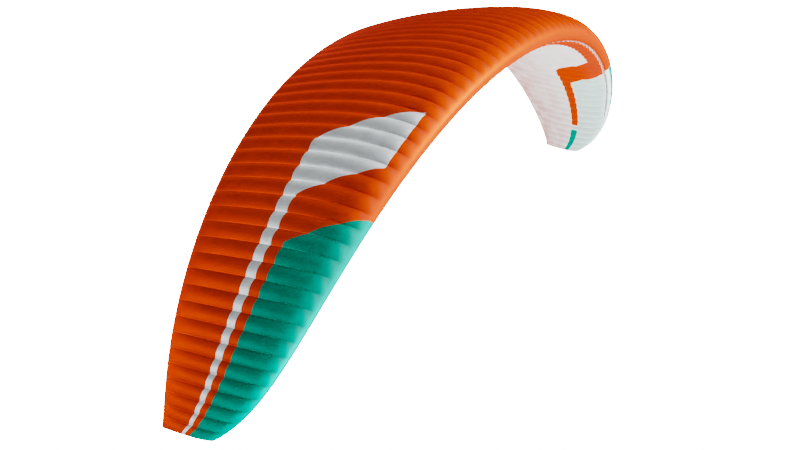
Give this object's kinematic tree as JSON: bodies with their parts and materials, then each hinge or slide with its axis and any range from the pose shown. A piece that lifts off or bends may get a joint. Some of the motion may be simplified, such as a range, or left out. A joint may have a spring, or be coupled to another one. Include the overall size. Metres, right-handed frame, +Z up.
{
  "type": "paraglider wing",
  "caption": "Ram-air paraglider canopy, arched as in flight, with swollen cells between sewn ribs and air inlets under the leading edge.",
  "frame": {"origin": "on the underside at mid-span, 30% of the chord behind the nose, where the middle of the suspension lines pulls", "axes": "+X along the span, +Z up, and the wing flies towards -Y, where its leading edge is"},
  "size_m": [9.6908, 2.5665, 3.3566],
  "materials": {
    "top_cloth": "coated ripstop nylon, satin",
    "tip_cloth": "coated ripstop nylon, satin",
    "underside_cloth": "coated ripstop nylon, satin",
    "rib_cloth": "hard-coated ripstop nylon, matt"
  },
  "bodies": {
    "root": {"upper_panel_01": "tip_cloth", "upper_panel_02": "top_cloth", "upper_panel_03": "top_cloth", "upper_panel_04": "top_cloth", "upper_panel_05": "top_cloth", "upper_panel_06": "top_cloth", "upper_panel_07": "top_cloth", "upper_panel_08": "top_cloth", "upper_panel_09": "top_cloth", "upper_panel_10": "tip_cloth", "lower_panel_01": "underside_cloth", "lower_panel_02": "underside_cloth", "lower_panel_03": "underside_cloth", "lower_panel_04": "underside_cloth", "lower_panel_05": "underside_cloth", "lower_panel_06": "underside_cloth", "lower_panel_07": "underside_cloth", "lower_panel_08": "underside_cloth", "lower_panel_09": "underside_cloth", "lower_panel_10": "underside_cloth", "rib_00": "rib_cloth", "rib_02": "rib_cloth", "rib_05": "rib_cloth", "rib_07": "rib_cloth", "rib_09": "rib_cloth", "rib_12": "rib_cloth", "rib_14": "rib_cloth", "rib_16": "rib_cloth", "rib_19": "rib_cloth", "rib_21": "rib_cloth", "rib_23": "rib_cloth", "rib_26": "rib_cloth", "rib_28": "rib_cloth", "rib_30": "rib_cloth", "rib_33": "rib_cloth", "rib_35": "rib_cloth", "rib_37": "rib_cloth", "rib_40": "rib_cloth", "rib_42": "rib_cloth", "rib_44": "rib_cloth", "rib_47": "rib_cloth", "rib_49": "rib_cloth", "rib_51": "rib_cloth", "rib_54": "rib_cloth", "rib_56": "rib_cloth", "rib_58": "rib_cloth", "rib_61": "rib_cloth", "rib_63": "rib_cloth", "rib_65": "rib_cloth", "rib_68": "rib_cloth", "rib_70": "rib_cloth"}
  },
  "joints": []
}
